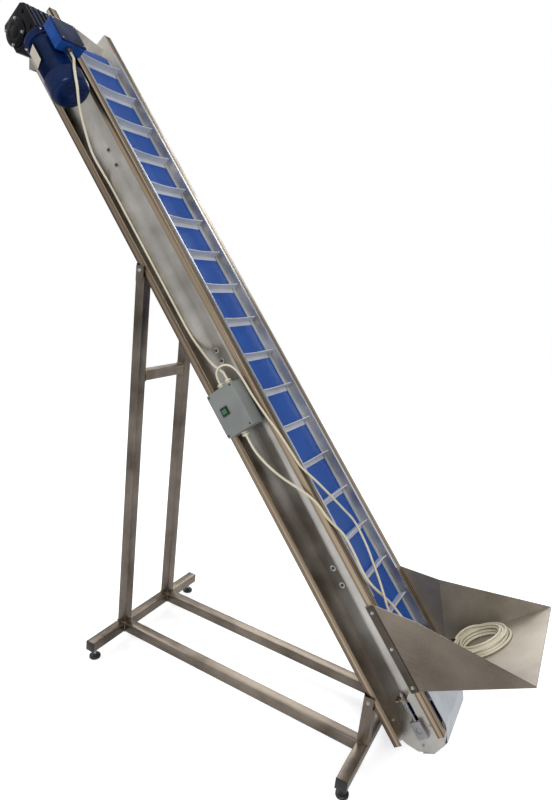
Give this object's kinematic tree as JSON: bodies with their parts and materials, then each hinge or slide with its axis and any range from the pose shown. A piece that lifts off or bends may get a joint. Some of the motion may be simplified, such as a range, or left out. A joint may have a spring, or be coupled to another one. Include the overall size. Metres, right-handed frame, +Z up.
{
  "type": "belt conveyor section",
  "caption": "Inclined cleated belt conveyor on a square-tube stand, with a worm gearmotor at the head, a feed hopper over the tail, a control box and its leads.",
  "frame": {"origin": "on the floor, under the middle of the box round the conveyor without its free leads", "axes": "+Z up, +X towards the infeed hopper, +Y across the belt, away from the drive and the control box"},
  "size_m": [2.2066, 0.658, 2.4517],
  "materials": {
    "bar_steel": "darker brushed bar",
    "black_enamel": "gloss enamel, nearly black",
    "black_rubber": "matt",
    "blue_belt": "smooth belt cover, semi-matt",
    "bronze": "machined",
    "cream_pvc": "smooth flexible jacket",
    "green_plastic": "translucent green, glossy",
    "grey_plastic": "fine matt",
    "machined": "machined",
    "navy_enamel": "gloss enamel",
    "pale_cleat": "pale moulded cleats, semi-matt",
    "stainless": "brushed, with warm reflections",
    "white_plastic": "smooth strip"
  },
  "bodies": {
    "frame": {"belt_carcass": "blue_belt", "control_box": "grey_plastic", "control_lid": "grey_plastic", "cross_tie_1": "stainless", "cross_tie_2": "stainless", "cross_tie_3": "stainless", "discharge_hood": "stainless", "drive_plate": "stainless", "fan_cover": "navy_enamel", "front_cross_beam": "stainless", "front_post_far": "stainless", "front_post_near": "stainless", "gearbox_cover": "black_enamel", "gearbox_housing": "black_enamel", "guide_strip_far": "white_plastic", "guide_strip_near": "white_plastic", "head_bearing_far": "black_enamel", "head_bearing_near": "black_enamel", "hopper": "stainless", "hopper_bar_far": "bar_steel", "hopper_bar_near": "bar_steel", "long_beam_far": "stainless", "long_beam_near": "stainless", "mains_coil": "cream_pvc", "mains_gland": "cream_pvc", "mains_lead": "cream_pvc", "mains_plug": "black_rubber", "motor_gland": "black_rubber", "motor_housing": "navy_enamel", "motor_lead": "cream_pvc", "motor_lead_gland": "cream_pvc", "rear_cross_beam": "stainless", "second_coil": "cream_pvc", "second_lead": "cream_pvc", "second_lead_gland": "cream_pvc", "second_plug": "black_rubber", "side_plate_far": "stainless", "side_plate_near": "stainless", "slider_bed": "stainless", "switch_bezel": "black_rubber", "tail_cover": "stainless", "terminal_box": "navy_enamel", "upright_far": "stainless", "upright_near": "stainless", "upright_rung": "stainless"},
    "carry_run": {"carry_cleats": "pale_cleat"},
    "return_run": {"return_cleats": "pale_cleat"},
    "head_cleat": {"head_cleat": "pale_cleat"},
    "tail_cleat": {"tail_cleat": "pale_cleat"},
    "head_drum": {"head_drum": "machined", "worm_wheel": "bronze"},
    "motor_rotor": {"motor_rotor": "machined"},
    "take_up": {"take_up_block_near": "machined", "take_up_block_far": "machined"},
    "tail_drum": {"tail_drum": "machined"},
    "rocker": {"switch_rocker": "green_plastic"},
    "foot_rear_near": {"levelling_foot_rear_near": "black_rubber"},
    "foot_rear_far": {"levelling_foot_rear_far": "black_rubber"},
    "foot_front_near": {"levelling_foot_front_near": "black_rubber"},
    "foot_front_far": {"levelling_foot_front_far": "black_rubber"}
  },
  "joints": [
    {"name": "belt_travel", "type": "slide", "parent": "frame", "child": "carry_run", "axis": [-0.646, 0, 0.7633], "range_m": [-0.0705, 0.0725]},
    {"name": "return_travel", "type": "slide", "parent": "frame", "child": "return_run", "axis": [0.646, 0, -0.7633], "range_m": [-0.0707, 0.0727]},
    {"name": "head_cleat_turn", "type": "hinge", "parent": "frame", "child": "head_cleat", "pos_m": [-0.94958, 0, 2.29226], "axis": [0, -1, 0], "range_deg": [-88.63, 91.14]},
    {"name": "tail_cleat_turn", "type": "hinge", "parent": "frame", "child": "tail_cleat", "pos_m": [0.81172, 0, 0.211], "axis": [0, -1, 0], "range_deg": [-88.63, 91.14]},
    {"name": "head_drum_turn", "type": "hinge", "parent": "frame", "child": "head_drum", "pos_m": [-0.94958, 0, 2.29226], "axis": [0, -1, 0], "continuous": true},
    {"name": "rotor_turn", "type": "hinge", "parent": "frame", "child": "motor_rotor", "pos_m": [-0.91294, -0.2391, 2.32327], "axis": [0.646, 0, -0.7633], "continuous": true},
    {"name": "take_up_slide", "type": "slide", "parent": "frame", "child": "take_up", "axis": [-0.646, 0, 0.7633], "range_m": [0, 0.03]},
    {"name": "tail_drum_turn", "type": "hinge", "parent": "take_up", "child": "tail_drum", "pos_m": [0.81172, 0, 0.211], "axis": [0, -1, 0], "continuous": true},
    {"name": "rocker_tip", "type": "hinge", "parent": "frame", "child": "rocker", "pos_m": [0.01118, -0.2163, 1.11932], "axis": [-0.646, 0, 0.7633], "range_deg": [0, 16]},
    {"name": "foot_rear_near_screw", "type": "slide", "parent": "frame", "child": "foot_rear_near", "axis": [0, 0, -1], "range_m": [0, 0.025]},
    {"name": "foot_rear_far_screw", "type": "slide", "parent": "frame", "child": "foot_rear_far", "axis": [0, 0, -1], "range_m": [0, 0.025]},
    {"name": "foot_front_near_screw", "type": "slide", "parent": "frame", "child": "foot_front_near", "axis": [0, 0, -1], "range_m": [0, 0.025]},
    {"name": "foot_front_far_screw", "type": "slide", "parent": "frame", "child": "foot_front_far", "axis": [0, 0, -1], "range_m": [0, 0.025]}
  ],
  "couplings": [
    {"joint": "return_travel", "follows": "belt_travel", "ratio": 1},
    {"joint": "head_cleat_turn", "follows": "belt_travel", "rad_per_m": 21.893},
    {"joint": "tail_cleat_turn", "follows": "belt_travel", "rad_per_m": 21.893},
    {"joint": "head_drum_turn", "follows": "belt_travel", "rad_per_m": 21.893},
    {"joint": "tail_drum_turn", "follows": "belt_travel", "rad_per_m": 21.893},
    {"joint": "rotor_turn", "follows": "belt_travel", "rad_per_m": 437.85}
  ]
}
